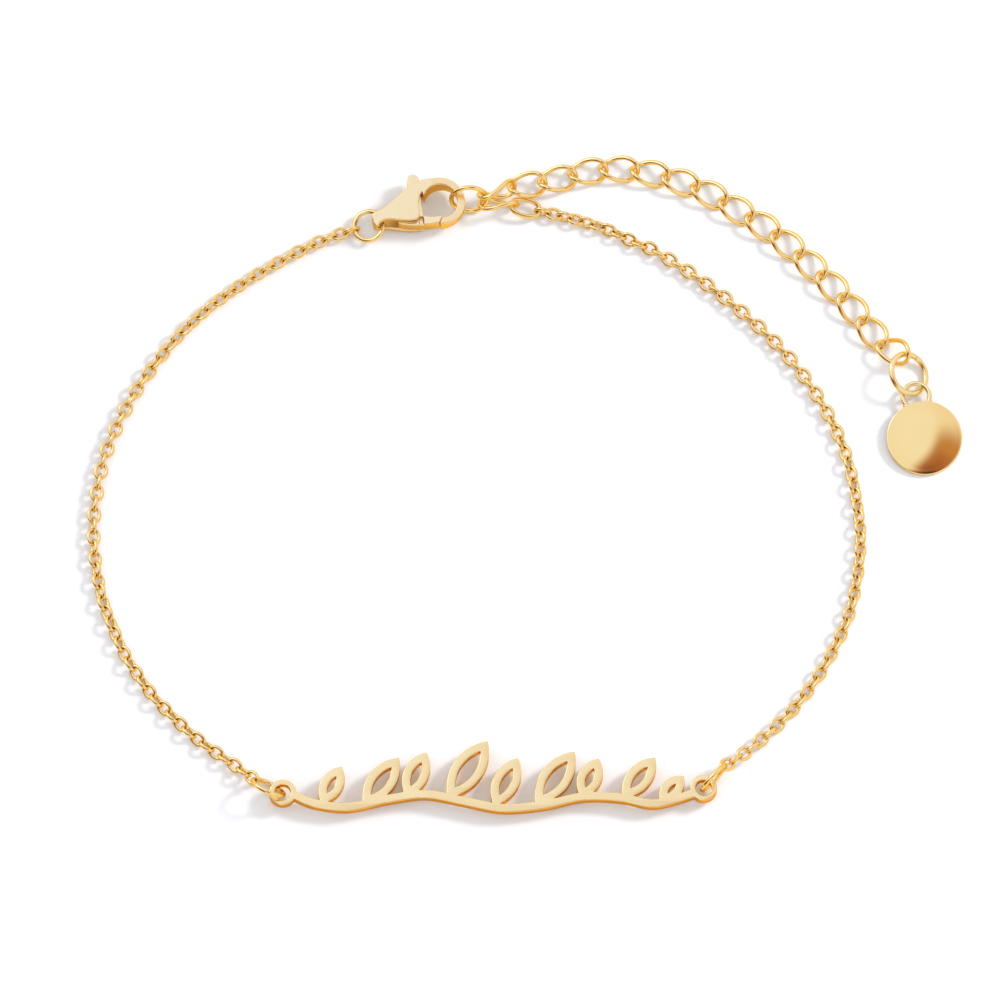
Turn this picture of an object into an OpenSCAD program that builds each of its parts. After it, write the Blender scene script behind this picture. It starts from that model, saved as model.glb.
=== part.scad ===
// Fine chain bracelet lying closed on a flat surface: a pierced leaf-sprig plate between
// two runs of cable chain, a lobster clasp, a curb-link extender and a round tag.
// Millimetres, +Z up, X along the plate, origin under the middle of the whole outline.

/* [Pierced plate] */
// Thickness of the plate
plate_t = 0.85; // [0.7:0.05:0.85]
// Height of the plate's underside over the surface
plate_lift = 0.65; // [0.65:0.01:0.68]
// Width of the stem and of the leaf outlines
stroke_w = 0.7; // [0.55:0.01:0.8]
// Outer diameter of the eye at each end
eye_d = 2.23; // [2.1:0.01:2.24]
// Hole diameter of the eyes
eye_hole_d = 1.34; // [1.34:0.01:1.4]

/* [Fine chain] */
// Wire diameter of a fine link
fine_wire = 0.3; // [0.27:0.01:0.31]
// Outer length of a fine link
fine_l = 1.72; // [1.7:0.01:1.76]
// Outer width of a fine link
fine_w = 1.2; // [1.18:0.01:1.28]
// Distance from one fine link to the next
fine_pitch = 0.96; // [0.955:0.001:0.965]

/* [Extender chain] */
// Wire diameter of an extender link
curb_wire = 0.38; // [0.34:0.01:0.4]
// Outer length of an extender link
curb_l = 3.5; // [3.46:0.01:3.54]
// Outer width of an extender link
curb_w = 2.4; // [2.3:0.01:2.42]

/* [Rings] */
// Wire diameter of the rings at the plate, the clasp and the hook
ring_wire = 0.4; // [0.36:0.01:0.42]
// Outer diameter of the rings at the plate
plate_ring_d = 3.2; // [3.18:0.01:3.24]
// Outer diameter of the ring at the clasp's tail
clasp_ring_d = 2.9; // [2.86:0.01:2.94]
// Outer diameter of the ring held by the clasp
hook_ring_d = 3.4; // [3.36:0.01:3.44]
// Outer diameter of the open ring that carries the tag
end_ring_d = 3.9; // [3.86:0.01:3.94]
// Wire diameter of the open ring that carries the tag
end_ring_wire = 0.48; // [0.44:0.01:0.5]

/* [Clasp] */
// Overall thickness of the clasp
clasp_t = 2; // [1.95:0.01:2.1]
// Thickness of each of its two side plates
clasp_plate_t = 0.45; // [0.4:0.01:0.46]
// Outer radius of the hook
hook_r = 2.08; // [2.05:0.01:2.12]
// Inner radius of the hook
hook_hole_r = 1.45; // [1.42:0.01:1.48]
// Thickness of the lever between the plates
lever_t = 0.95; // [0.9:0.01:0.96]
// Thickness of the lever's gate, clear of the plates
gate_t = 1.5; // [1.3:0.01:1.6]
// Diameter of the pivot pin
pin_d = 0.5; // [0.46:0.01:0.52]

/* [Tag] */
// Diameter of the tag
tag_d = 6.3; // [6:0.05:6.5]
// Thickness of the tag at its rim
tag_rim_t = 0.42; // [0.36:0.01:0.46]
// Height that the face swells above the rim
tag_dome = 0.36; // [0.2:0.01:0.45]
// Outer diameter of the soldered bail
bail_d = 2.63; // [2.58:0.01:2.68]
// Wire diameter of the bail
bail_wire = 0.4; // [0.36:0.01:0.42]

/* [Hidden] */

satin_gold = [0.95, 0.84, 0.6];
polished_gold = [0.93, 0.74, 0.36];

// Brings the origin under the middle of the outline
outline_shift = [0, 0.29, 0];
// Height of the lowest wires over the surface
ground_gap = 0.01;

// Facets round a wire and round a bend of the exact solids
wire_fn = 48;
// Facets round the large curves
curve_fn = 96;
// Sections along a swept link and sides of its wire
sweep_sections = 16;
sweep_sides = 6;
// Straight steps between two points of a chain's route
route_steps = 8;

// Places of the plate's eyes, and the ring that hangs in each one
eye_left = [-20.1, -27.45];
eye_right = [14.8, -27.05];
plate_ring_left_at = [-21.3, -27.03, 1.43];
plate_ring_left_turn = [-60, 0, -29];
plate_ring_right_at = [15.65, -26.22, 1.6];
plate_ring_right_turn = [95, 0, 47];

// Stem of the sprig, from eye to eye
stem_route = [
    [-19.3, -27.6], [-17.4, -28.4], [-14.6, -28.7], [-11.4, -28.0], [-8.2, -27.6], [-5.0, -28.2],
    [-1.8, -28.8], [1.6, -28.5], [4.8, -27.8], [8.0, -27.9], [10.8, -28.4], [14.0, -27.5]];
// Leaves: where each springs from, its lean from the X axis, its length and its width
leaf_table = [
    // root x, root y, lean, length, width
    [-16.9, -28.4, 62, 3.6, 1.9],
    [-13.4, -28.5, 54, 5.0, 2.3],
    [-9.9, -27.8, 66, 4.2, 2.1],
    [-6.4, -27.9, 56, 5.9, 2.6],
    [-2.6, -28.6, 64, 4.6, 2.2],
    [0.9, -28.5, 55, 5.6, 2.5],
    [4.6, -27.9, 66, 3.7, 2.0],
    [8.1, -27.9, 52, 4.4, 2.1],
    [11.2, -28.2, 48, 2.9, 1.7]];

// Route of the left run, from the plate up to the clasp
left_route = [
    [-22.65, -26.08, 1.1], [-23.45, -25.4, 0.82], [-24.55, -24.5, 0.62], [-26.4, -23.15, 0.5],
    [-27.95, -21.85, 0.52], [-29.4, -20.4, 0.52], [-30.8, -18.9, 0.52], [-32.15, -16.95, 0.52],
    [-33.2, -15.25, 0.52], [-34.0, -13.45, 0.52], [-34.7, -11.65, 0.52], [-35.25, -9.9, 0.52],
    [-35.75, -7.0, 0.52], [-35.9, -4.2, 0.52], [-35.7, -1.4, 0.52], [-34.85, 2.6, 0.52],
    [-32.85, 7.1, 0.52], [-30.1, 11.25, 0.54], [-26.9, 14.7, 0.56], [-23.05, 17.65, 0.58],
    [-18.95, 20.1, 0.6], [-16.3, 21.35, 0.62], [-14.5, 21.95, 0.62]];
// Route of the right run, from the plate up to the small link
right_route = [
    [16.79, -25.04, 1.5], [17.5, -24.45, 1.12], [18.4, -23.7, 0.8], [19.5, -22.7, 0.62],
    [22.2, -20.0, 0.54], [24.9, -16.15, 0.54], [27.0, -11.45, 0.54], [27.9, -6.0, 0.54],
    [27.6, -1.65, 0.54], [26.65, 2.6, 0.54], [24.7, 6.9, 0.54], [21.8, 11.1, 0.54],
    [18.3, 14.65, 0.56], [14.65, 17.65, 0.56], [10.9, 20.15, 0.56], [9.05, 21.0, 0.56],
    [7.3, 21.9, 0.56], [5.4, 22.6, 0.56], [3.5, 23.15, 0.6], [1.49, 23.62, 0.63]];
// How far the links of a run lie turned from flat, against the length along it
left_roll = [
    [0, -32], [6, -40], [16, -40], [22, -56], [28, -80], [34, -84], [40, -66], [46, -36], [52, -12],
    [62, -4]];
right_roll = [
    [0, 4], [8, 34], [20, 36], [28, 44], [34, 62], [40, 78], [50, 82], [56, 64], [63, 24], [67, 0]];

// Route through the middles of the extender links, which stand evenly along it
curb_route = [
    [0.21, 25.84, 1.0], [2.78, 26.48, 0.68], [5.2, 27.15, 0.6], [7.75, 27.4, 0.6],
    [10.4, 27.05, 0.6], [13.0, 26.3, 0.6], [15.5, 25.2, 0.6], [17.8, 23.8, 0.6],
    [20.0, 22.35, 0.6], [22.0, 20.75, 0.6], [23.9, 18.95, 0.6], [25.75, 17.05, 0.6],
    [27.45, 15.05, 0.6], [29.0, 13.05, 0.62]];
curb_route_links = 14;
// Turn of each end of an extender link from flat
curb_twist = 45;

// Small ring held in the clasp's hook, leaning with its far side up
hook_ring_at = [-4.64, 24.4, 1.63];
hook_ring_lean = 68;
// Crown to crown ends of the two joining links and of the small link
joining_upper_ends = [[-3.73, 24.47, 2.17], [-0.87, 25.69, 1.12]];
joining_upper_turn = [-38, -135];
joining_lower_ends = [[-3.77, 24.17, 1.1], [-0.63, 24.12, 1.1]];
joining_lower_turn = [-30, -90];
chain_end_ends = [[-1.12, 24.12, 1.08], [1.23, 23.68, 0.6]];
chain_end_w = 1.8;
chain_end_turn = [0, 0];

// Last extender link, drawn up by the open ring
last_link_ends = [[29.54, 12.13, 0.58], [31.94, 10.46, 1.62]];
last_link_turn = [-45, 45];

clasp_ring_at = [-13.05, 22.3, 0.88];
clasp_ring_turn = [0, -14, 12];
end_ring_at = [31.98, 9.18, 1.19];
end_ring_lean = 33;
// Seam of the open ring: where it is and how wide it stands open
seam_at = 62;
seam_gap = 3;

// Clasp: middle of the hook, lengthwise direction and height of the underside
clasp_at = [-7.05, 24.04, 0.4];
clasp_turn = 12;
// Pivot of the lever, from the middle of the hook
pivot = [-2.35, -0.15];
// Clearances of the lever to its pin and of its gate to the hook's tip
pin_gap = 0.05;
tip_gap = 0.1;
// Reach of the gate from the pivot, and the corner where its thicker stretch starts
gate_r = 2.5;
gate_from = [-1.72, -0.9];
// Fold that joins the two plates round the ring at the tail: corner and size
fold_at = [-5.83, -0.78];
fold_size = [0.3, 0.83];
// Root of the hook between the plates: corner and size
root_at = [-1.3, 1.45];
root_size = [0.9, 0.57];
// How far the hook's face falls and its underside rises, from its root towards its tip
hook_fall = 10;
hook_rise = [-6.4, -8.8, 0];
// Metal left over each end of the pin's blind seat, and the pin's play in it
seat_wall = 0.12;
seat_play = 0.02;
// Outline of the side plates: along the back, down the mouth of the hook, and then the lower
// side of each plate; the lower plate stands out beyond the upper one beside the lever
clasp_back = [
    [-5.86, -0.15], [-5.8, 0.05], [-5.55, 0.17], [-5.2, 0.23], [-4.7, 0.38], [-4.1, 0.72],
    [-3.4, 1.15], [-2.8, 1.5], [-2.35, 1.76], [-1.9, 1.94], [-1.4, 2.06], [-0.9, 2.12],
    [-0.4, 2.1]];
clasp_mouth = [
    [-0.4, 1.47], [-0.75, 1.46], [-1.1, 1.33], [-1.4, 1.05], [-1.65, 0.68], [-1.8, 0.3],
    [-1.87, -0.2]];
upper_side = [
    [-1.93, -0.8], [-2.06, -1.1], [-2.3, -1.24], [-2.7, -1.22], [-3.1, -1.12], [-3.7, -0.94],
    [-4.3, -0.74], [-4.85, -0.68], [-5.3, -0.82], [-5.52, -1.1], [-5.66, -1.17], [-5.8, -0.85]];
lower_side = [
    [-1.85, -0.6], [-1.9, -1.72], [-2.4, -1.7], [-3.0, -1.58], [-3.6, -1.4], [-4.2, -1.18],
    [-4.8, -1.0], [-5.3, -0.96], [-5.68, -0.8], [-5.84, -0.45]];
lever_outline = [
    [-1.36, 2.5], [-1.38, 1.8], [-1.42, 1.2], [-1.5, 0.8], [-1.6, 0.3], [-1.62, -0.5],
    [-1.6, -0.97], [-1.0, -1.16], [0.4, -1.3], [0.3, -1.8], [-0.6, -1.8], [-1.6, -1.72],
    [-2.4, -1.58], [-3.0, -1.42], [-3.5, -1.26], [-3.8, -1.08], [-3.76, -0.8], [-3.3, -0.5],
    [-3.0, 0.1], [-2.75, 0.8], [-2.4, 1.6], [-2.36, 2.5]];
// Notch that the lever has beside its gate, under the corner of the upper plate
notch_at = [-2.1, -1.5];
notch_size = [0.42, 0.6];
notch_depth = 0.5;
thumb_at = [-1.86, 2.4];
thumb_r = 0.5;

tag_at = [33.28, 3.75, 0.52];
tag_lean = 5.3;
tag_turn = 10.6;
bail_reach = 3.62;

// Length of one run's route up to each of its points
function run_sums(p) = [for (i = 0, s = 0; i < len(p);
    s = i + 1 < len(p) ? s + norm(p[i + 1] - p[i]) : s, i = i + 1) s];
// Point of a smooth curve through p0..p3, between p1 and p2
function smooth_point(p0, p1, p2, p3, t) = 0.5 * (2 * p1 + (p2 - p0) * t
    + (2 * p0 - 5 * p1 + 4 * p2 - p3) * t * t + (3 * p1 - p0 - 3 * p2 + p3) * t * t * t);
// Smooth curve through every point of a route
function smooth(p) = concat([for (i = [0:len(p) - 2], k = [0:route_steps - 1])
    smooth_point(p[max(i - 1, 0)], p[i], p[i + 1], p[min(i + 2, len(p) - 1)], k / route_steps)],
    [p[len(p) - 1]]);
// A curve as one table for each coordinate against the length along it
function track(p) = let (s = run_sums(p))
    [for (axis = [0:2]) [for (i = [0:len(p) - 1]) [s[i], p[i][axis]]]];
function track_end(tr) = tr[0][len(tr[0]) - 1][0];
function track_at(tr, s) = [for (axis = [0:2]) lookup(s, tr[axis])];
function unit(v) = v / norm(v);
function mix(a, b, t) = a + (b - a) * t;
// Signed power, for rounding an ellipse towards a rectangle
function signed_pow(v, e) = sign(v) * pow(abs(v), e);

// Moves every piece by the same shift
module in_place() { translate(outline_shift) children(); }

// Sets a link that runs along X from a to b, turned about its own length
module between(a, b, turn = 0) {
    u = unit(b - a);
    translate((a + b) / 2) rotate([turn, -asin(u[2]), atan2(u[1], u[0])]) children();
}

// Round wire ring lying in the XY plane
module wire_ring(outer_d, wire, open = 0) {
    rotate([0, 0, open / 2]) rotate_extrude(angle = 360 - open, $fn = curve_fn)
        translate([(outer_d - wire) / 2, 0]) circle(d = wire, $fn = wire_fn);
}

// Link with straight sides and half round ends, along X
module cable_link() {
    r = (fine_w - fine_wire) / 2;
    straight = fine_l - fine_w;
    for (end = [0, 180]) rotate([0, 0, end]) {
        translate([straight / 2, 0, 0]) rotate([0, 0, -90])
            rotate_extrude(angle = 180, $fn = wire_fn)
            translate([r, 0]) circle(d = fine_wire, $fn = wire_fn);
        translate([-straight / 2, r, 0]) rotate([0, 90, 0])
            cylinder(d = fine_wire, h = straight, $fn = wire_fn);
    }
}

// One run of fine chain, its links turned a quarter from one to the next
module cable_run(route, roll) {
    tr = track(smooth(route));
    length = track_end(tr);
    links = round(length / fine_pitch) + 1;
    step = length / (links - 1);
    for (i = [0:links - 1]) {
        s = i * step;
        ahead = track_at(tr, min(s + fine_l / 2, length));
        behind = track_at(tr, max(s - fine_l / 2, 0));
        turn = lookup(s, roll) + 90 * (i % 2);
        lowest = fine_wire / 2 + ground_gap
            + (fine_w - fine_wire) / 2 * max(abs(sin(turn)), abs(cos(turn)));
        at = track_at(tr, s);
        mid = [at[0], at[1], max(at[2], lowest)];
        u = unit(ahead - behind) / 2;
        between(mid - u, mid + u, turn) cable_link();
    }
}

// Centre line of an oval link along X whose two ends are turned from flat
function link_line(crown, half_w, turns) = [for (k = [0:sweep_sections - 1])
    let (t = 360 * (k + 0.5) / sweep_sections, x = crown * signed_pow(cos(t), 0.92),
        y = half_w * signed_pow(sin(t), 0.82), turn = mix(turns[0], turns[1], (x / crown + 1) / 2))
    [x, y * cos(turn), y * sin(turn)]];

// Closed wire swept round a centre line that goes round the origin
module closed_wire(line, wire) {
    n = len(line);
    points = [for (i = [0:n - 1])
        let (t = unit(line[(i + 1) % n] - line[(i + n - 1) % n]),
            out = unit(line[i] - (line[i] * t) * t), up = cross(t, out))
        for (k = [0:sweep_sides - 1]) let (a = 360 * k / sweep_sides)
            line[i] + wire / 2 * (cos(a) * out + sin(a) * up)];
    faces = [for (i = [0:n - 1], k = [0:sweep_sides - 1])
        let (a = i * sweep_sides + k, b = i * sweep_sides + (k + 1) % sweep_sides,
            c = ((i + 1) % n) * sweep_sides + (k + 1) % sweep_sides,
            d = ((i + 1) % n) * sweep_sides + k)
        each [[a, c, b], [a, d, c]]];
    polyhedron(points, faces);
}

// Oval link from crown to crown, each end with its own turn
module oval_link(ends, width, wire, turns) {
    crown = norm(ends[1] - ends[0]) / 2;
    in_place() between(ends[0], ends[1])
        closed_wire(link_line(crown, (width - wire) / 2, turns), wire);
}

// Pointed leaf along X with its tip at the far end, as the lens between two arcs
module leaf(length, width) {
    r = (length * length + width * width) / (4 * width);
    intersection() {
        translate([length / 2, r - width / 2]) circle(r = r, $fn = 2 * curve_fn);
        translate([length / 2, width / 2 - r]) circle(r = r, $fn = 2 * curve_fn);
    }
}

// Outline of one leaf, open inside its stroke
module leaf_outline(length, width) {
    r = (length * length + width * width) / (4 * width);
    difference() {
        leaf(length, width);
        intersection() {
            translate([length / 2, r - width / 2]) circle(r = r - stroke_w, $fn = 2 * curve_fn);
            translate([length / 2, width / 2 - r]) circle(r = r - stroke_w, $fn = 2 * curve_fn);
        }
    }
}

// Stem as one smooth band of constant width
module stem() {
    line = smooth([for (p = stem_route) [p[0], p[1], 0]]);
    n = len(line);
    side = [for (i = [0:n - 1])
        let (t = unit(line[min(i + 1, n - 1)] - line[max(i - 1, 0)]))
        [-t[1], t[0]] * stroke_w / 2];
    polygon(concat([for (i = [0:n - 1]) [line[i][0], line[i][1]] + side[i]],
        [for (i = [n - 1:-1:0]) [line[i][0], line[i][1]] - side[i]]));
}

module plate() {
    color(satin_gold) in_place() translate([0, 0, plate_lift]) difference() {
        union() {
            linear_extrude(plate_t) stem();
            for (row = leaf_table) translate([row[0], row[1], 0]) rotate([0, 0, row[2]])
                linear_extrude(plate_t) leaf_outline(row[3], row[4]);
            for (eye = [eye_left, eye_right]) translate([eye[0], eye[1], 0])
                cylinder(d = eye_d, h = plate_t, $fn = curve_fn);
        }
        for (eye = [eye_left, eye_right]) translate([eye[0], eye[1], -1])
            cylinder(d = eye_hole_d, h = plate_t + 2, $fn = curve_fn);
    }
}

module plate_ring_left() {
    color(polished_gold) in_place() translate(plate_ring_left_at) rotate(plate_ring_left_turn)
        wire_ring(plate_ring_d, ring_wire);
}

module plate_ring_right() {
    color(polished_gold) in_place() translate(plate_ring_right_at) rotate(plate_ring_right_turn)
        wire_ring(plate_ring_d, ring_wire);
}

module fine_chain_left() { color(polished_gold) in_place() cable_run(left_route, left_roll); }

module fine_chain_right() { color(polished_gold) in_place() cable_run(right_route, right_roll); }

module clasp_ring() {
    color(polished_gold) in_place() translate(clasp_ring_at) rotate(clasp_ring_turn)
        wire_ring(clasp_ring_d, ring_wire);
}

// Puts a piece of the clasp in its place
module on_clasp() { in_place() translate(clasp_at) rotate([0, 0, clasp_turn]) children(); }

// Hook flush with the plates at its root, open on the side that the lever closes
module hook() {
    side = 2 * hook_r;
    face_from = root_at[0] + root_size[0];
    difference() {
        cylinder(r = hook_r, h = clasp_t, $fn = curve_fn);
        translate([0, 0, -1]) cylinder(r = hook_hole_r, h = clasp_t + 2, $fn = curve_fn);
        translate([root_at[0] - side, -side, -1]) cube([side, 2 * side, clasp_t + 2]);
        translate([face_from - side, -side, -1]) cube([side, side, clasp_t + 2]);
        intersection() {
            translate([pivot[0], pivot[1], -1])
                cylinder(r = gate_r + tip_gap, h = clasp_t + 2, $fn = curve_fn);
            translate([-side, -side, -1]) cube([2 * side, side, clasp_t + 2]);
        }
        translate([face_from, -side, clasp_t]) rotate([0, hook_fall, 0])
            cube([side, 2 * side, 1]);
        translate([face_from, hook_r, 0]) rotate(hook_rise) translate([-side, -2 * side, -2])
            cube([3 * side, 3 * side, 2]);
    }
}

// Two side plates, the fold at the tail and the hook
module clasp_body() {
    color(satin_gold) on_clasp() difference() {
        union() {
            linear_extrude(clasp_plate_t) polygon(concat(clasp_back, clasp_mouth, lower_side));
            translate([0, 0, clasp_t - clasp_plate_t]) linear_extrude(clasp_plate_t)
                polygon(concat(clasp_back, clasp_mouth, upper_side));
            translate([fold_at[0], fold_at[1], 0]) cube([fold_size[0], fold_size[1], clasp_t]);
            translate([root_at[0], root_at[1], 0]) cube([root_size[0], root_size[1], clasp_t]);
            hook();
        }
        translate([pivot[0], pivot[1], seat_wall])
            cylinder(d = pin_d + 2 * seat_play, h = clasp_t - 2 * seat_wall, $fn = wire_fn);
    }
}

module clasp_pin() {
    inset = seat_wall + 2 * seat_play;
    color(polished_gold) on_clasp() translate([pivot[0], pivot[1], inset])
        cylinder(d = pin_d, h = clasp_t - 2 * inset, $fn = wire_fn);
}

// Lever, thin between the plates and thicker at the gate, with a knob for the thumb
module clasp_lever() {
    side = 2 * gate_r;
    low = (clasp_t - lever_t) / 2;
    color(satin_gold) on_clasp() difference() {
        union() {
            intersection() {
                translate([0, 0, (clasp_t - gate_t) / 2]) linear_extrude(gate_t)
                    polygon(lever_outline);
                translate([pivot[0], pivot[1], -1])
                    cylinder(r = gate_r, h = clasp_t + 2, $fn = curve_fn);
                union() {
                    translate([-side, -side, low]) cube([2 * side, 2 * side, lever_t]);
                    translate([gate_from[0], gate_from[1] - side, -1])
                        cube([side, side, clasp_t + 2]);
                }
            }
            translate([thumb_at[0], thumb_at[1], low])
                cylinder(r = thumb_r, h = lever_t, $fn = wire_fn);
        }
        translate([pivot[0], pivot[1], -1])
            cylinder(d = pin_d + 2 * pin_gap, h = clasp_t + 2, $fn = wire_fn);
        translate([notch_at[0], notch_at[1], low + lever_t - notch_depth])
            cube([notch_size[0], notch_size[1], clasp_t]);
    }
}

module hook_ring() {
    color(polished_gold) in_place() translate(hook_ring_at) rotate([hook_ring_lean, 0, 0])
        wire_ring(hook_ring_d, ring_wire);
}

module joining_link_upper() {
    color(polished_gold) oval_link(joining_upper_ends, curb_w, curb_wire, joining_upper_turn);
}

module joining_link_lower() {
    color(polished_gold) oval_link(joining_lower_ends, curb_w, curb_wire, joining_lower_turn);
}

module chain_end_link() {
    color(polished_gold) oval_link(chain_end_ends, chain_end_w, curb_wire, chain_end_turn);
}

// Extender link by its number, counted from the clasp; the last one has its own ends
module extender_link(number) {
    tr = track(smooth(curb_route));
    length = track_end(tr);
    s = length * (number - 1) / (curb_route_links - 1);
    crown = (curb_l - curb_wire) / 2;
    u = unit(track_at(tr, min(s + 1, length)) - track_at(tr, max(s - 1, 0)));
    at = track_at(tr, s);
    last = number > curb_route_links;
    color(polished_gold) oval_link(last ? last_link_ends : [at - crown * u, at + crown * u],
        curb_w, curb_wire, last ? last_link_turn : [-curb_twist, curb_twist]);
}

// Open ring that carries the tag, with a seam between its ends
module end_ring() {
    color(polished_gold) in_place() translate(end_ring_at) rotate([0, end_ring_lean, 0])
        rotate([0, 0, seam_at]) wire_ring(end_ring_d, end_ring_wire, seam_gap);
}

// Tag with a swelling face and a bail soldered to its edge
module disc_tag() {
    dome_r = (tag_d * tag_d / 4 + tag_dome * tag_dome) / (2 * tag_dome);
    full_t = tag_rim_t + tag_dome;
    color(polished_gold) in_place() translate(tag_at) rotate([tag_lean, 0, tag_turn]) union() {
        translate([0, 0, -tag_rim_t / 2]) intersection() {
            cylinder(d = tag_d, h = full_t, $fn = 2 * curve_fn);
            translate([0, 0, full_t - dome_r]) sphere(r = dome_r, $fn = 4 * curve_fn);
        }
        translate([0, bail_reach, 0]) wire_ring(bail_d, bail_wire);
    }
}

plate();
plate_ring_left();
plate_ring_right();
fine_chain_left();
fine_chain_right();
clasp_ring();
clasp_body();
clasp_pin();
clasp_lever();
hook_ring();
joining_link_upper();
joining_link_lower();
chain_end_link();
extender_link(1);  // extender_link_01
extender_link(2);  // extender_link_02
extender_link(3);  // extender_link_03
extender_link(4);  // extender_link_04
extender_link(5);  // extender_link_05
extender_link(6);  // extender_link_06
extender_link(7);  // extender_link_07
extender_link(8);  // extender_link_08
extender_link(9);  // extender_link_09
extender_link(10);  // extender_link_10
extender_link(11);  // extender_link_11
extender_link(12);  // extender_link_12
extender_link(13);  // extender_link_13
extender_link(14);  // extender_link_14
extender_link(15);  // extender_link_15
end_ring();
disc_tag();
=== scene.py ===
"""Scene of a fine gold chain bracelet that lies closed on a pale surface.

Every piece is shaped in millimetres round the place that its node has in the frame, and is scaled
to metres when it is finished.
"""
from collections import namedtuple
from math import cos, pi, radians, sin

import bpy
import numpy as np
from mathutils import Matrix, Vector


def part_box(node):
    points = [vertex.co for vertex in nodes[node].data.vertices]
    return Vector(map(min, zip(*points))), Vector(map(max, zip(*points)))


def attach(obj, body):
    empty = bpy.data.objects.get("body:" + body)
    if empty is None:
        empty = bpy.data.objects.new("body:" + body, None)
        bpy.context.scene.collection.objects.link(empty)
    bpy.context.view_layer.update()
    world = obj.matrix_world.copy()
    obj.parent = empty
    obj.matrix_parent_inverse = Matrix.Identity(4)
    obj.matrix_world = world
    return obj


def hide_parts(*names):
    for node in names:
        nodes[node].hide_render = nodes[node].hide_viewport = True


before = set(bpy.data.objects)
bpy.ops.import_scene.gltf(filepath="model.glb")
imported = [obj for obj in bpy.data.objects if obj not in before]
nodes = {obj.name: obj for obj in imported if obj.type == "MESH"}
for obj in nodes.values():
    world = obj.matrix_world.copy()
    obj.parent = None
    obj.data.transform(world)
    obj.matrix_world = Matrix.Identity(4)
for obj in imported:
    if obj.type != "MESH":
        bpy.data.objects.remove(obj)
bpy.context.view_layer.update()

scene = bpy.context.scene
MM = 0.001

# Camera: far off with a long lens, at the photo's angle

LOOK_AT = Vector((-0.00208, -0.0012, 0.0))
CAMERA_ELEVATION = radians(72)
CAMERA_DISTANCE = 2.2
CAMERA_LENS = 951
SENSOR = 36
CLIP_NEAR = 0.01
CLIP_FAR = 100

# Key light: from the right, low and soft; the metal doesn't mirror it

KEY_ELEVATION = radians(38)
KEY_BEARING = radians(22)
KEY_DISTANCE = 0.62
KEY_SIZE = 0.14
KEY_POWER = 1.9
KEY_COLOUR = (1.0, 0.995, 0.99)

# Floor of white card, and its tone where polished metal mirrors it

FLOOR_SIZE = 3
FLOOR_TONE = (0.92, 0.93, 0.95, 1)
FLOOR_MIRRORED = (0.90, 0.67, 0.25, 1)
FLOOR_ROUGHNESS = 0.9
FLOOR_SPECULAR = 0.1

# Light of the plain dome on the floor, and the plain backdrop past the floor

DOME_LIGHT = (0.93, 0.93, 0.955, 1)
BACKDROP = (0.95, 0.95, 0.95, 1)

# What polished metal mirrors: a warm pale room, its tone against the sine of the elevation

ROOM_STOPS = (
    (0.0, (0.80, 0.55, 0.24)), (0.16, (0.86, 0.68, 0.40)), (0.42, (0.93, 0.84, 0.69)),
    (1.0, (0.94, 0.89, 0.80)))

# Soft round spots in that room: middle seen from above, inner and outer reach, and tint

Spot = namedtuple("Spot", "middle inner outer tint")
DARK_SPOTS = (
    Spot((0.31, -0.02), 0.06, 0.38, (0.60, 0.31, 0.12)),
    Spot((0.12, -0.36), 0.17, 0.42, (0.60, 0.28, 0.14)),
    Spot((0.10, -0.40), 0.05, 0.26, (0.06, 0.03, 0.02)),
    Spot((-0.76, -0.52), 0.44, 0.60, (0.66, 0.28, 0.06)),
    Spot((-0.76, -0.52), 0.30, 0.52, (0.14, 0.04, 0.01)))
SOFTBOX = Spot((-0.40, 0.27), 0.52, 0.66, (0.96, 0.96, 0.96))
LAMP = Spot((-0.58, 0.46), 0.10, 0.26, (2.2, 2.2, 2.2))

# Golds of the bracelet: grain and scratches are depths in metres, drift and mottle noise scales

# Tint of a gold where it is seen edge on
PLAIN_EDGE = (1, 1, 1, 1)
WARM_EDGE = (0.98, 0.72, 0.40, 1)
Gold = namedtuple("Gold", "light deep edge_on least_rough most_rough grain scratches drift mottle")
WIRE = Gold(
    (0.96, 0.81, 0.46, 1), (0.95, 0.77, 0.40, 1), WARM_EDGE, 0.04, 0.10, 6e-7, 2e-7, 350, 2500)
GOLDS = {
    "satin_gold": Gold(
        (0.96, 0.80, 0.50, 1), (0.92, 0.74, 0.43, 1), PLAIN_EDGE, 0.20, 0.28, 4e-7, 1.5e-7,
        180, 9000),
    "clasp_gold": Gold(
        (0.96, 0.82, 0.57, 1), (0.93, 0.78, 0.51, 1), WARM_EDGE, 0.16, 0.24, 3e-7, 1.5e-7,
        200, 9000),
    # Plate walls: polished, and their darker, more orange colour is painted shade
    "wall_gold_painted_shade": Gold(
        (0.89, 0.60, 0.32, 1), (0.81, 0.49, 0.22, 1), WARM_EDGE, 0.12, 0.24, 6e-7, 2e-7,
        400, 4000),
    # Plate's rounded edges: polished, and their brighter, yellower colour is a painted highlight
    "edge_gold_painted_highlight": Gold(
        (0.99, 0.85, 0.47, 1), (0.96, 0.79, 0.40, 1), PLAIN_EDGE, 0.10, 0.18, 3e-7, 1e-7,
        400, 4000),
    "wire_gold": WIRE,
    "fine_gold": WIRE,
    "pale_wire_gold": Gold(
        (0.95, 0.87, 0.62, 1), (0.93, 0.83, 0.54, 1), WARM_EDGE, 0.04, 0.10, 5e-7, 2e-7,
        350, 2500),
    # Tag's rim: its near-white colour is a painted highlight
    "rim_gold_painted_highlight": Gold(
        (1.0, 0.97, 0.92, 1), (0.98, 0.94, 0.86, 1), PLAIN_EDGE, 0.10, 0.16, 3e-7, 1e-7,
        350, 2500),
    "mirror_gold": Gold(
        (0.96, 0.76, 0.40, 1), (0.94, 0.71, 0.33, 1), PLAIN_EDGE, 0.05, 0.10, 3e-7, 1e-7,
        120, 1500)}

# Scratches: turns of their two directions, and how much roughness they add

SCRATCH_TURNS = (28, -54)
SCRATCH_WEAR = 0.05

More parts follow.
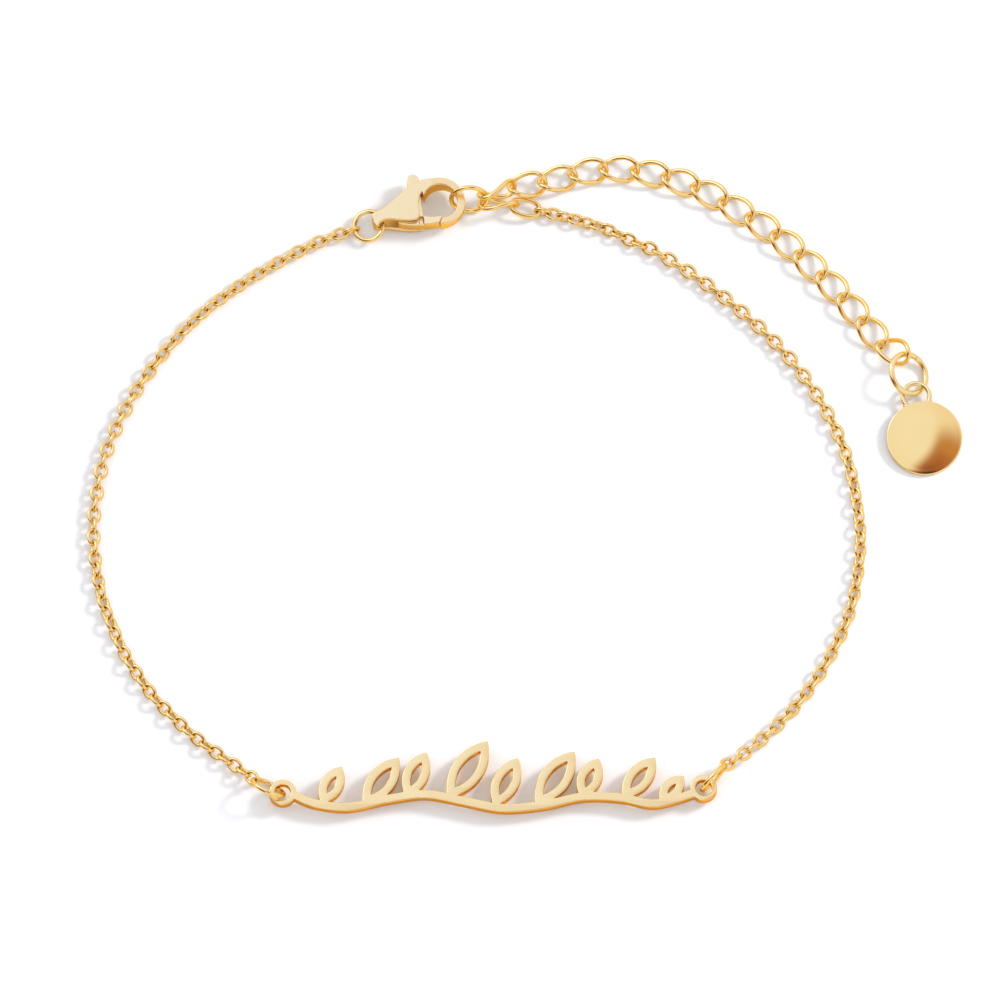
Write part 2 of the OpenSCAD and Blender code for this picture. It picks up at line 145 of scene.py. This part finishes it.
# Painted shade in the crooks of the fine links, where their neighbours hang: a brown multiplied
# into their colour

PAINTED_CROOK_SHADE = (0.40, 0.14, 0.03, 1)
# Where it starts towards a link's end, as a cosine, and over how much of that it deepens
CROOK_START = 0.75
CROOK_FADE = 0.2
# How fast it deepens from the wire's middle inwards, and its depth on that middle
CROOK_SLOPE = 2
CROOK_MIDDLE = 0.2

# Sizes and steps of the pieces that are modelled here, in millimetres and degrees

# MERGE joins corners that lie this close; faces that meet at less than SMOOTH are shaded smooth
MERGE = 0.0002

FINE_LENGTH = 1.58
FINE_WIDTH = 1.24
FINE_WIRE_R = 0.15
FINE_STEPS = 22
FINE_SIDES = 8
WIRE_SMOOTH = 80

RING_STEPS = 120
RING_SIDES = 20
RING_MERGE = 0.0001
RING_SMOOTH = 50
EASE_STEPS = 3
Seam = namedtuple("Seam", "angle ease")
HAIRLINE = Seam(0.7, 0.02)
OPEN = Seam(3.0, 0.05)
Ring = namedtuple("Ring", "node piece seam_to seam gold")
RINGS = (
    Ring("plate_ring_left", "jump_ring_left", (-1, -0.6, 0.3), HAIRLINE, "wire_gold"),
    Ring("plate_ring_right", "jump_ring_right", (1, 0.8, 0.2), HAIRLINE, "wire_gold"),
    Ring("clasp_ring", "tail_ring", (-0.3, -1, 0), HAIRLINE, "wire_gold"),
    Ring("hook_ring", "held_ring", (0.9, 0.1, 0.5), HAIRLINE, "wire_gold"),
    Ring("end_ring", "open_ring", (0.47, 0.88, 0), OPEN, "pale_wire_gold"))

CURB_NODES = ["joining_link_upper", "joining_link_lower", "chain_end_link"]
CURB_NODES += ["extender_link_%02d" % number for number in range(1, 16)]
CURB_GROW = 1.025
CURB_SWELL = 0.038
CURB_LEVELS = 2

# Cast pieces: voxel that fills them, rounds of softening, and triangles that are kept
Cast = namedtuple("Cast", "node piece body voxel rounds triangles")
CASTS = (
    Cast("clasp_body", "clasp_shell", "root", 0.045, 10, 60000),
    Cast("clasp_lever", "clasp_gate", "lever", 0.035, 8, 24000))
CAST_SOFTEN = 0.5
CAST_SMOOTH = 60

PLATE_EDGE = 0.06
PLATE_EDGE_STEPS = 2
PLATE_SMOOTH = 30
# How far up a face of the plate looks: its cut outline's top, its finished top, its rounded edge
OUTLINE_LEVEL = 0.9
FACE_LEVEL = 0.98
EDGE_LEVEL = 0.3

TAG_AT = Vector((33.28, 4.04, 0.52))
TAG_TURN = Matrix.Rotation(radians(10.6), 3, "Z") @ Matrix.Rotation(radians(5.3), 3, "X")
TAG_R = 3.15
TAG_BACK = -0.21
TAG_RIM_TOP = 0.21
TAG_CROWN = 0.57
TAG_EDGE = 0.07
# A ring of corners on the back, as a share of the tag's radius
TAG_BACK_RING = 0.6
# How far the rim's rounding sinks under its top, in radii of the edge, and how far it turns
TAG_RIM_SINK = 0.6
TAG_RIM_TURN = 80
TAG_EDGE_STEPS = 4
TAG_CROWN_STEPS = 14
TAG_STEPS = 160
TAG_MERGE = 0.0005
TAG_SMOOTH = 35
# Width of the rim's near-white band of painted highlight, in radii of the edge
RIM_BAND = 1.1

BAIL_REACH = 3.62
BAIL_R = 1.115
BAIL_WIRE_R = 0.2
BAIL_STEPS = 96
BAIL_SIDES = 20
SOLDER_R = 0.25
SOLDER_STRETCH = (1.3, 0.7, 0.8)
SOLDER_STEPS = 24
SOLDER_RINGS = 16


# Working with meshes

def deselect():
    """Clears the selection."""
    bpy.ops.object.select_all(action="DESELECT")


def select_only(*objects):
    """Selects these objects alone and makes the last one active."""
    deselect()
    for obj in objects:
        obj.select_set(True)
    bpy.context.view_layer.objects.active = objects[-1]


def edit(obj):
    """Opens one object with everything in it selected."""
    select_only(obj)
    bpy.ops.object.mode_set(mode="EDIT")
    bpy.ops.mesh.select_mode(type="VERT")
    bpy.ops.mesh.select_all(action="SELECT")


def done():
    """Closes the object that is being edited."""
    bpy.ops.object.mode_set(mode="OBJECT")


def pick_faces(obj, test):
    """Opens one object with only the faces that pass the test selected."""
    edit(obj)
    bpy.ops.mesh.select_mode(type="FACE")
    bpy.ops.mesh.select_all(action="DESELECT")
    done()
    for face in obj.data.polygons:
        face.select = test(face)
    bpy.ops.object.mode_set(mode="EDIT")


def close_mesh(threshold):
    """Merges the open mesh's doubles and turns its faces outwards."""
    bpy.ops.mesh.remove_doubles(threshold=threshold)
    bpy.ops.mesh.normals_make_consistent(inside=False)
    done()


def apply_modifier(obj, name, kind, **values):
    """Puts a modifier with these values on an object and applies it."""
    select_only(obj)
    modifier = obj.modifiers.new(name, kind)
    for key, value in values.items():
        setattr(modifier, key, value)
    bpy.ops.object.modifier_apply(modifier=name)


def settle(obj):
    """Puts an object's place and turn into its mesh."""
    select_only(obj)
    bpy.ops.object.transform_apply(location=True, rotation=True, scale=True)


def working_copy(node, name):
    """Merged copy of a node's mesh, in millimetres."""
    mesh = nodes[node].data.copy()
    mesh.name = name
    mesh.materials.clear()
    mesh.transform(Matrix.Scale(1 / MM, 4))
    obj = bpy.data.objects.new(name, mesh)
    scene.collection.objects.link(obj)
    edit(obj)
    if mesh.has_custom_normals:
        bpy.ops.mesh.customdata_custom_splitnormals_clear()
    bpy.ops.mesh.remove_doubles(threshold=MERGE)
    done()
    return obj


def read_vectors(items, name):
    """One vector of each vertex or face, as rows of an array."""
    values = np.empty(len(items) * 3)
    items.foreach_get(name, values)
    return values.reshape(-1, 3)


def measure(obj):
    """Middle of an object and its axes, the longest first."""
    corners = read_vectors(obj.data.vertices, "co")
    centres = read_vectors(obj.data.polygons, "center")
    areas = np.empty(len(centres))
    obj.data.polygons.foreach_get("area", areas)
    middle = (centres * areas[:, None]).sum(0) / areas.sum()
    off = centres - middle
    axes = np.linalg.eigh((off * areas[:, None]).T @ off)[1][:, ::-1]
    if np.linalg.det(axes) < 0:
        axes[:, 2] *= -1
    local = (corners - middle) @ axes
    middle = middle + axes @ ((local.min(0) + local.max(0)) / 2)
    return Vector(middle), Matrix(axes.tolist())


def delete_objects(objects):
    """Deletes working objects with their meshes."""
    for obj in objects:
        mesh = obj.data
        bpy.data.objects.remove(obj)
        bpy.data.meshes.remove(mesh)


def placed(middle, axes):
    """A middle and its axes as one matrix."""
    return Matrix.Translation(middle) @ axes.to_4x4()


def finish_piece(obj, node, body, slot, *materials, angle):
    """Scales a shaped piece to metres, gives it its looks and its body, and hides the node it
    stands for.
    """
    obj.data.transform(Matrix.Scale(MM, 4))
    select_only(obj)
    bpy.ops.object.shade_smooth_by_angle(angle=radians(angle))
    obj.data.materials.clear()
    for material in materials:
        obj.data.materials.append(material)
    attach(obj, body)
    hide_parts(node)


# Golds

def new_group(name, inputs, outputs):
    """Empty shader group of float sockets, with its two ends."""
    group = bpy.data.node_groups.new(name, "ShaderNodeTree")
    for socket, value in inputs:
        group.interface.new_socket(
            socket, in_out="INPUT", socket_type="NodeSocketFloat").default_value = value
    for socket in outputs:
        group.interface.new_socket(socket, in_out="OUTPUT", socket_type="NodeSocketFloat")
    return group, group.nodes.new("NodeGroupInput"), group.nodes.new("NodeGroupOutput")


def add_node(tree, kind, inputs=(), **settings):
    """New shader node with these settings and input values."""
    node = tree.nodes.new(kind)
    for key, value in settings.items():
        setattr(node, key, value)
    for key, value in dict(inputs).items():
        node.inputs[key].default_value = value
    return node


def build_scratches():
    """Fine straight scratches in two directions over Object coordinates."""
    group, enter, leave = new_group(
        "fine_scratches", (("Scale", 900), ("Stretch", 14)), ("Mask",))
    link = group.links.new
    place = add_node(group, "ShaderNodeTexCoord")
    layers = []
    for turn in SCRATCH_TURNS:
        mapping = add_node(group, "ShaderNodeMapping", {"Rotation": (0, 0, radians(turn))})
        link(place.outputs["Object"], mapping.inputs["Vector"])
        split = add_node(group, "ShaderNodeSeparateXYZ")
        link(mapping.outputs["Vector"], split.inputs[0])
        across = add_node(group, "ShaderNodeMath", operation="MULTIPLY")
        link(split.outputs["Y"], across.inputs[0])
        link(enter.outputs["Stretch"], across.inputs[1])
        join = add_node(group, "ShaderNodeCombineXYZ")
        link(split.outputs["X"], join.inputs["X"])
        link(across.outputs[0], join.inputs["Y"])
        link(split.outputs["Z"], join.inputs["Z"])
        noise = add_node(group, "ShaderNodeTexNoise", {"Detail": 2.0, "Roughness": 0.6})
        link(join.outputs[0], noise.inputs["Vector"])
        link(enter.outputs["Scale"], noise.inputs["Scale"])
        thin = add_node(group, "ShaderNodeMapRange", {"From Min": 0.6, "From Max": 0.72})
        link(noise.outputs["Fac"], thin.inputs["Value"])
        layers.append(thin)
    both = add_node(group, "ShaderNodeMath", operation="MAXIMUM")
    link(layers[0].outputs[0], both.inputs[0])
    link(layers[1].outputs[0], both.inputs[1])
    link(both.outputs[0], leave.inputs["Mask"])
    return group


def build_tone():
    """Slow drift in the tone of the plating, with a finer mottle."""
    group, enter, leave = new_group(
        "plating_tone", (("Scale", 250), ("Mottle", 2500)), ("Tone", "Grain"))
    link = group.links.new
    place = add_node(group, "ShaderNodeTexCoord")
    slow = add_node(group, "ShaderNodeTexNoise", {"Detail": 3.0, "Roughness": 0.55})
    link(place.outputs["Object"], slow.inputs["Vector"])
    link(enter.outputs["Scale"], slow.inputs["Scale"])
    fine = add_node(group, "ShaderNodeTexNoise", {"Detail": 2.0, "Roughness": 0.5})
    link(place.outputs["Object"], fine.inputs["Vector"])
    link(enter.outputs["Mottle"], fine.inputs["Scale"])
    spread = add_node(group, "ShaderNodeMapRange", {"From Min": 0.35, "From Max": 0.65})
    link(slow.outputs["Fac"], spread.inputs["Value"])
    link(spread.outputs[0], leave.inputs["Tone"])
    link(fine.outputs["Fac"], leave.inputs["Grain"])
    return group


def build_gold(name, look, tone_group, scratch_group):
    """Gold plate: tone drift in the colour, mottle and scratches in gloss and relief."""
    material = bpy.data.materials.new(name)
    material.use_nodes = True
    tree = material.node_tree
    link = tree.links.new
    shader = tree.nodes["Principled BSDF"]
    shader.inputs["Metallic"].default_value = 1.0
    shader.inputs["Specular Tint"].default_value = look.edge_on
    tone = add_node(tree, "ShaderNodeGroup", node_tree=tone_group)
    tone.inputs["Scale"].default_value = look.drift
    tone.inputs["Mottle"].default_value = look.mottle
    scratch = add_node(tree, "ShaderNodeGroup", node_tree=scratch_group)
    colour = add_node(tree, "ShaderNodeMix", data_type="RGBA")
    colour.inputs["A"].default_value = look.light
    colour.inputs["B"].default_value = look.deep
    link(tone.outputs["Tone"], colour.inputs["Factor"])
    link(colour.outputs["Result"], shader.inputs["Base Color"])
    gloss = add_node(tree, "ShaderNodeMapRange",
                     {"To Min": look.least_rough, "To Max": look.most_rough})
    link(tone.outputs["Grain"], gloss.inputs["Value"])
    worn = add_node(tree, "ShaderNodeMath", operation="MULTIPLY_ADD")
    worn.inputs[1].default_value = SCRATCH_WEAR
    link(scratch.outputs["Mask"], worn.inputs[0])
    link(gloss.outputs[0], worn.inputs[2])
    link(worn.outputs[0], shader.inputs["Roughness"])
    grain = add_node(tree, "ShaderNodeBump", {"Strength": 1.0, "Distance": look.grain})
    link(tone.outputs["Grain"], grain.inputs["Height"])
    marks = add_node(tree, "ShaderNodeBump", {"Strength": 1.0, "Distance": look.scratches},
                     invert=True)
    link(scratch.outputs["Mask"], marks.inputs["Height"])
    link(grain.outputs["Normal"], marks.inputs["Normal"])
    link(marks.outputs["Normal"], shader.inputs["Normal"])
    return material


def paint_crook_shade(material):
    """Paints shade into a gold's colour where the mesh marks the crook of a link."""
    tree = material.node_tree
    base = tree.nodes["Principled BSDF"].inputs["Base Color"]
    colour = base.links[0].from_socket
    crook = add_node(tree, "ShaderNodeAttribute", attribute_name="crook")
    deep = add_node(tree, "ShaderNodeMix", data_type="RGBA", blend_type="MULTIPLY")
    deep.inputs["B"].default_value = PAINTED_CROOK_SHADE
    tree.links.new(crook.outputs["Fac"], deep.inputs["Factor"])
    tree.links.new(colour, deep.inputs["A"])
    tree.links.new(deep.outputs["Result"], base)


def build_golds():
    """Every gold of the bracelet, by name."""
    scratch_group = build_scratches()
    tone_group = build_tone()
    built = {name: build_gold(name, look, tone_group, scratch_group)
             for name, look in GOLDS.items()}
    # Painted shade in the crooks of the fine links
    paint_crook_shade(built["fine_gold"])
    return built


# Chains and rings

def mark_crooks(link):
    """Marks the inner side of a still round fine link's two ends, where its neighbours hang, for
    painted shade.
    """
    crook = link.data.attributes.new("crook", "FLOAT", "POINT")
    for vertex, mark in zip(link.data.vertices, crook.data):
        reach = vertex.co.xy.length
        inside = (FINE_WIDTH / 2 - FINE_WIRE_R - reach) / FINE_WIRE_R
        end = (abs(vertex.co.x) / reach - CROOK_START) / CROOK_FADE
        mark.value = (min(max(inside * CROOK_SLOPE + CROOK_MIDDLE, 0), 1)
                      * min(max(end, 0), 1))


def model_fine_link():
    """One fine link: a wire torus drawn out along X to an oval."""
    deselect()
    bpy.ops.mesh.primitive_torus_add(
        major_segments=FINE_STEPS, minor_segments=FINE_SIDES,
        major_radius=FINE_WIDTH / 2 - FINE_WIRE_R, minor_radius=FINE_WIRE_R)
    link = bpy.context.active_object
    mark_crooks(link)
    for vertex in link.data.vertices:
        vertex.co.x += (FINE_LENGTH - FINE_WIDTH) / 2 * vertex.co.x / vertex.co.xy.length
    return link


def model_fine_run(node, name):
    """A whole run of fine chain, one copy of the link in the place of each solid."""
    solids = working_copy(node, name + "_solids")
    edit(solids)
    bpy.ops.mesh.separate(type="LOOSE")
    done()
    parts = list(bpy.context.selected_objects)
    pattern = model_fine_link()
    links = []
    for part in parts:
        middle, axes = measure(part)
        link = bpy.data.objects.new(name, pattern.data.copy())
        link.data.transform(placed(middle, axes))
        scene.collection.objects.link(link)
        links.append(link)
    delete_objects([*parts, pattern])
    select_only(*links)
    bpy.ops.object.join()
    run = links[-1]
    run.name = run.data.name = name
    finish_piece(run, node, "root", "chain_gold", golds["fine_gold"], angle=WIRE_SMOOTH)


def measure_ring(ring, seam_to):
    """A ring node's frame with X towards its seam, its wire's radius and its outer radius."""
    solid = working_copy(ring, ring + "_solid")
    middle, axes = measure(solid)
    normal = axes.col[2].normalized()
    points = [v.co - middle for v in solid.data.vertices]
    heights = [p.dot(normal) for p in points]
    wire_r = (max(heights) - min(heights)) / 2
    reach = max((p - normal * h).length for p, h in zip(points, heights))
    delete_objects([solid])
    start = (seam_to - normal * seam_to.dot(normal)).normalized()
    turn = Matrix((start, normal.cross(start), normal)).transposed()
    return placed(middle, turn), wire_r, reach


def model_ring(node, name, seam_to, seam, gold):
    """Round wire ring that starts and ends at a seam, whose ends are eased."""
    place, wire_r, reach = measure_ring(node, Vector(seam_to))
    deselect()
    bpy.ops.mesh.primitive_circle_add(
        vertices=RING_SIDES, radius=wire_r, fill_type="NGON",
        location=(reach - wire_r, 0, 0), rotation=(pi / 2, 0, 0))
    ring = bpy.context.active_object
    ring.name = ring.data.name = name
    settle(ring)
    edit(ring)
    bpy.ops.mesh.spin(steps=RING_STEPS, angle=radians(360 - seam.angle), center=(0, 0, 0),
                      axis=(0, 0, 1))
    bpy.ops.mesh.select_all(action="SELECT")
    close_mesh(RING_MERGE)
    # The two end caps are the only faces with more than four corners
    pick_faces(ring, lambda face: len(face.vertices) > 4)
    bpy.ops.mesh.bevel(offset=seam.ease, segments=EASE_STEPS, affect="EDGES")
    done()
    # Turns back by half the gap, or forward where no wire lies well below the first corner
    first = ring.data.vertices[0].co
    lowest = min(v.co.y for v in ring.data.vertices
                 if v.co.x > reach / 2 and abs(v.co.y) < wire_r)
    way = -1 if lowest < first.y - wire_r / 2 else 1
    ring.data.transform(Matrix.Rotation(way * radians(seam.angle) / 2, 4, "Z"))
    ring.data.transform(place)
    finish_piece(ring, node, "root", "chain_gold", golds[gold], angle=RING_SMOOTH)


def model_curb_link(node):
    """Curb link: the node's own coarse wire, swelled a little and subdivided to a round one."""
    link = working_copy(node, node + "_wire")
    middle, _ = measure(link)
    edit(link)
    bpy.ops.mesh.tris_convert_to_quads(face_threshold=pi, shape_threshold=pi)
    bpy.ops.transform.resize(value=(CURB_GROW,) * 3, center_override=middle)
    bpy.ops.transform.shrink_fatten(value=CURB_SWELL)
    done()
    apply_modifier(link, "round", "SUBSURF", levels=CURB_LEVELS, render_levels=CURB_LEVELS)
    finish_piece(link, node, "root", "chain_gold", golds["wire_gold"], angle=WIRE_SMOOTH)


# Clasp

def model_cast(node, name, body, voxel, rounds, triangles):
    """Cast look: the node's form with soft edges and fillets."""
    cast = working_copy(node, name)
    apply_modifier(cast, "fill", "REMESH", mode="VOXEL", voxel_size=voxel)
    apply_modifier(cast, "soften", "SMOOTH", factor=CAST_SOFTEN, iterations=rounds)
    share = triangles / (2 * len(cast.data.polygons))
    if share < 1:
        apply_modifier(cast, "thin", "DECIMATE", ratio=share)
    finish_piece(cast, node, body, "satin_gold", golds["clasp_gold"], angle=CAST_SMOOTH)


def gild_pin():
    """The hidden pin keeps its node's form."""
    nodes["clasp_pin"].data.materials.clear()
    nodes["clasp_pin"].data.materials.append(golds["wire_gold"])


# Plate

def cut_outline(plate):
    """Leaves only the edges round the plate's top."""
    pick_faces(plate, lambda face: face.normal.z < OUTLINE_LEVEL)
    bpy.ops.mesh.delete(type="FACE")
    bpy.ops.mesh.select_mode(type="EDGE")
    bpy.ops.mesh.select_all(action="DESELECT")
    bpy.ops.mesh.select_non_manifold(extend=False, use_boundary=True, use_wire=False)
    bpy.ops.mesh.select_all(action="INVERT")
    bpy.ops.mesh.delete(type="EDGE_FACE")
    bpy.ops.mesh.select_all(action="SELECT")
    bpy.ops.mesh.delete(type="ONLY_FACE")
    done()


def model_plate():
    """Pierced plate: its cut outline raised to a band with a fine rounded edge."""
    low, high = (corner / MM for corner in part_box("plate"))
    plate = working_copy("plate", "plate_work")
    cut_outline(plate)
    plate.data.transform(Matrix.Translation((0, 0, -high.z)))
    select_only(plate)
    bpy.ops.object.convert(target="CURVE")
    outline = bpy.context.active_object
    outline.data.dimensions = "2D"
    outline.data.fill_mode = "BOTH"
    outline.data.extrude = (high.z - low.z) / 2 - PLATE_EDGE
    outline.data.bevel_depth = PLATE_EDGE
    outline.data.bevel_resolution = PLATE_EDGE_STEPS
    outline.data.offset = -PLATE_EDGE
    bpy.ops.object.convert(target="MESH")
    plate = bpy.context.active_object
    plate.name = plate.data.name = "sprig_plate"
    plate.data.transform(Matrix.Translation((0, 0, (high.z + low.z) / 2)))
    edit(plate)
    close_mesh(MERGE)
    finish_piece(plate, "plate", "root", "satin_gold", golds["satin_gold"], golds["wall_gold_painted_shade"],
                 golds["edge_gold_painted_highlight"], angle=PLATE_SMOOTH)
    # Flat top faces take the satin gold, the walls a darker gold of painted shade, the rounded
    # edge a brighter gold of painted highlight
    for face in plate.data.polygons:
        level = abs(face.normal.z)
        face.material_index = 0 if level > FACE_LEVEL else 2 if level > EDGE_LEVEL else 1


# Tag

def tag_section():
    """Section of the tag from the middle of its back round its edge to the top of its crown."""
    rise = TAG_CROWN - TAG_RIM_TOP
    crown_r = (TAG_R ** 2 + rise ** 2) / (2 * rise)
    inner = TAG_R - TAG_EDGE
    section = [(0, TAG_BACK), (TAG_R * TAG_BACK_RING, TAG_BACK), (inner, TAG_BACK)]
    for step in range(1, TAG_EDGE_STEPS + 1):
        turn = radians(90 * step / TAG_EDGE_STEPS)
        section.append((inner + TAG_EDGE * sin(turn), TAG_BACK + TAG_EDGE * (1 - cos(turn))))
    for step in range(0, TAG_EDGE_STEPS + 1):
        turn = radians(TAG_RIM_TURN * step / TAG_EDGE_STEPS)
        section.append((inner + TAG_EDGE * cos(turn),
                        TAG_RIM_TOP - TAG_EDGE * TAG_RIM_SINK + TAG_EDGE * sin(turn)))
    for step in range(1, TAG_CROWN_STEPS + 1):
        r = inner * (1 - step / TAG_CROWN_STEPS)
        section.append((r, TAG_CROWN - crown_r + (crown_r ** 2 - r ** 2) ** 0.5))
    return section


def model_disc():
    """The tag's round disc, turned from its section."""
    section = tag_section()
    mesh = bpy.data.meshes.new("disc_profile")
    mesh.from_pydata([(x, 0, z) for x, z in section],
                     [(i, i + 1) for i in range(len(section) - 1)], [])
    disc = bpy.data.objects.new("round_tag", mesh)
    scene.collection.objects.link(disc)
    edit(disc)
    bpy.ops.mesh.spin(steps=TAG_STEPS, angle=2 * pi, center=(0, 0, 0), axis=(0, 0, 1))
    bpy.ops.mesh.select_all(action="SELECT")
    close_mesh(TAG_MERGE)
    return disc


def model_bail():
    """The tag's ring of wire, and a bead of solder at each place where it meets the disc."""
    deselect()
    bpy.ops.mesh.primitive_torus_add(
        location=(0, BAIL_REACH, 0), major_segments=BAIL_STEPS, minor_segments=BAIL_SIDES,
        major_radius=BAIL_R, minor_radius=BAIL_WIRE_R)
    bail = bpy.context.active_object
    settle(bail)
    pieces = [bail]
    along = (BAIL_REACH ** 2 + BAIL_R ** 2 - TAG_R ** 2) / (2 * BAIL_REACH)
    half = (BAIL_R ** 2 - along ** 2) ** 0.5
    for side in (-1, 1):
        deselect()
        bpy.ops.mesh.primitive_uv_sphere_add(
            segments=SOLDER_STEPS, ring_count=SOLDER_RINGS, radius=SOLDER_R)
        bead = bpy.context.active_object
        meeting = Vector((side * half, (TAG_R ** 2 - half ** 2) ** 0.5, 0))
        bead.data.transform(
            Matrix.Translation(meeting) @ Matrix.Diagonal((*SOLDER_STRETCH, 1)))
        pieces.append(bead)
    return pieces


def model_tag():
    """Round tag with a swelling face, and its bail with the solder that holds it."""
    disc = model_disc()
    disc_faces = len(disc.data.polygons)
    select_only(*model_bail(), disc)
    bpy.ops.object.join()
    tag = bpy.context.active_object
    tag.data.transform(placed(TAG_AT, TAG_TURN))
    finish_piece(tag, "disc_tag", "root", "mirror_gold", golds["mirror_gold"], golds["rim_gold_painted_highlight"],
                 golds["pale_wire_gold"], angle=TAG_SMOOTH)
    # Faces near the rim take the near-white painted highlight, the bail and solder the pale wire
    # gold
    to_disc = TAG_TURN.transposed()
    for face in tag.data.polygons:
        if face.index >= disc_faces:
            face.material_index = 2
        elif (to_disc @ (face.center / MM - TAG_AT)).xy.length > TAG_R - TAG_EDGE * RIM_BAND:
            face.material_index = 1


# Stage

def build_floor():
    """White card, which lends a warm tone to what the metal mirrors of it."""
    deselect()
    bpy.ops.mesh.primitive_plane_add(size=FLOOR_SIZE)
    floor = bpy.context.active_object
    floor.name = floor.data.name = "floor"
    material = bpy.data.materials.new("white_card")
    material.use_nodes = True
    tree = material.node_tree
    shader = tree.nodes["Principled BSDF"]
    shader.inputs["Roughness"].default_value = FLOOR_ROUGHNESS
    shader.inputs["Specular IOR Level"].default_value = FLOOR_SPECULAR
    path = add_node(tree, "ShaderNodeLightPath")
    tone = add_node(tree, "ShaderNodeMix", data_type="RGBA")
    tone.inputs["A"].default_value = FLOOR_TONE
    tone.inputs["B"].default_value = FLOOR_MIRRORED
    tree.links.new(path.outputs["Is Glossy Ray"], tone.inputs["Factor"])
    tree.links.new(tone.outputs["Result"], shader.inputs["Base Color"])
    floor.data.materials.append(material)


def build_room(tree):
    """Colour of the room that polished metal mirrors, with its spots, softbox and lamp."""
    link = tree.links.new
    place = add_node(tree, "ShaderNodeTexCoord")
    split = add_node(tree, "ShaderNodeSeparateXYZ")
    link(place.outputs["Generated"], split.inputs[0])
    plan = add_node(tree, "ShaderNodeCombineXYZ")
    link(split.outputs["X"], plan.inputs["X"])
    link(split.outputs["Y"], plan.inputs["Y"])
    ramp = add_node(tree, "ShaderNodeValToRGB")
    elements = ramp.color_ramp.elements
    while len(elements) < len(ROOM_STOPS):
        elements.new(0.5)
    for element, (at, colour) in zip(elements, ROOM_STOPS):
        element.position = at
        element.color = (*colour, 1)
    link(split.outputs["Z"], ramp.inputs["Fac"])
    room = ramp.outputs["Color"]
    cards = [(spot, "MULTIPLY") for spot in DARK_SPOTS] + [(SOFTBOX, "MIX"), (LAMP, "MIX")]
    for spot, blend in cards:
        away = add_node(tree, "ShaderNodeVectorMath", operation="DISTANCE")
        link(plan.outputs[0], away.inputs[0])
        away.inputs[1].default_value = (*spot.middle, 0)
        mask = add_node(
            tree, "ShaderNodeMapRange", {"From Min": spot.outer, "From Max": spot.inner},
            interpolation_type="SMOOTHSTEP")
        link(away.outputs["Value"], mask.inputs["Value"])
        card = add_node(tree, "ShaderNodeMix", data_type="RGBA", blend_type=blend)
        card.inputs["B"].default_value = (*spot.tint, 1)
        link(mask.outputs[0], card.inputs["Factor"])
        link(room, card.inputs["A"])
        room = card.outputs["Result"]
    return room


def build_world():
    """Plain dome for the floor, the room for the metal, and the backdrop for the camera."""
    world = bpy.data.worlds.new("studio")
    scene.world = world
    world.use_nodes = True
    tree = world.node_tree
    link = tree.links.new
    tree.nodes.clear()
    seen = add_node(tree, "ShaderNodeBackground", {"Color": DOME_LIGHT})
    mirrored = add_node(tree, "ShaderNodeBackground")
    link(build_room(tree), mirrored.inputs["Color"])
    backdrop = add_node(tree, "ShaderNodeBackground", {"Color": BACKDROP})
    path = add_node(tree, "ShaderNodeLightPath")
    for ray, light in (("Is Glossy Ray", mirrored), ("Is Camera Ray", backdrop)):
        mix = add_node(tree, "ShaderNodeMixShader")
        link(path.outputs[ray], mix.inputs["Fac"])
        link(seen.outputs[0], mix.inputs[1])
        link(light.outputs[0], mix.inputs[2])
        seen = mix
    out = add_node(tree, "ShaderNodeOutputWorld")
    link(seen.outputs[0], out.inputs["Surface"])


def aim(obj, at, target):
    """Puts a lamp or camera at a place and turns it to its target."""
    obj.location = at
    obj.rotation_euler = (target - at).to_track_quat("-Z", "Y").to_euler()


def build_lights():
    """The key light."""
    data = bpy.data.lights.new("key", "AREA")
    data.shape = "DISK"
    data.size = KEY_SIZE
    data.energy = KEY_POWER
    data.color = KEY_COLOUR
    key = bpy.data.objects.new("key", data)
    scene.collection.objects.link(key)
    key.visible_glossy = False
    way = Vector((cos(KEY_ELEVATION) * cos(KEY_BEARING), cos(KEY_ELEVATION) * sin(KEY_BEARING),
                  sin(KEY_ELEVATION)))
    aim(key, LOOK_AT + way * KEY_DISTANCE, LOOK_AT)


def build_camera():
    """The camera, in front of the bracelet and high over it."""
    data = bpy.data.cameras.new("camera")
    data.lens = CAMERA_LENS
    data.sensor_width = SENSOR
    data.clip_start = CLIP_NEAR
    data.clip_end = CLIP_FAR
    camera = bpy.data.objects.new("camera", data)
    scene.collection.objects.link(camera)
    way = Vector((0, -cos(CAMERA_ELEVATION), sin(CAMERA_ELEVATION)))
    aim(camera, LOOK_AT + way * CAMERA_DISTANCE, LOOK_AT)
    scene.camera = camera


# Making

golds = build_golds()

model_fine_run("fine_chain_left", "fine_run_left")
model_fine_run("fine_chain_right", "fine_run_right")
for ring_row in RINGS:
    model_ring(*ring_row)
for curb_node in CURB_NODES:
    model_curb_link(curb_node)
for cast_row in CASTS:
    model_cast(*cast_row)
gild_pin()
model_plate()
model_tag()

build_floor()
build_world()
build_lights()
build_camera()
scene.view_settings.view_transform = "Standard"
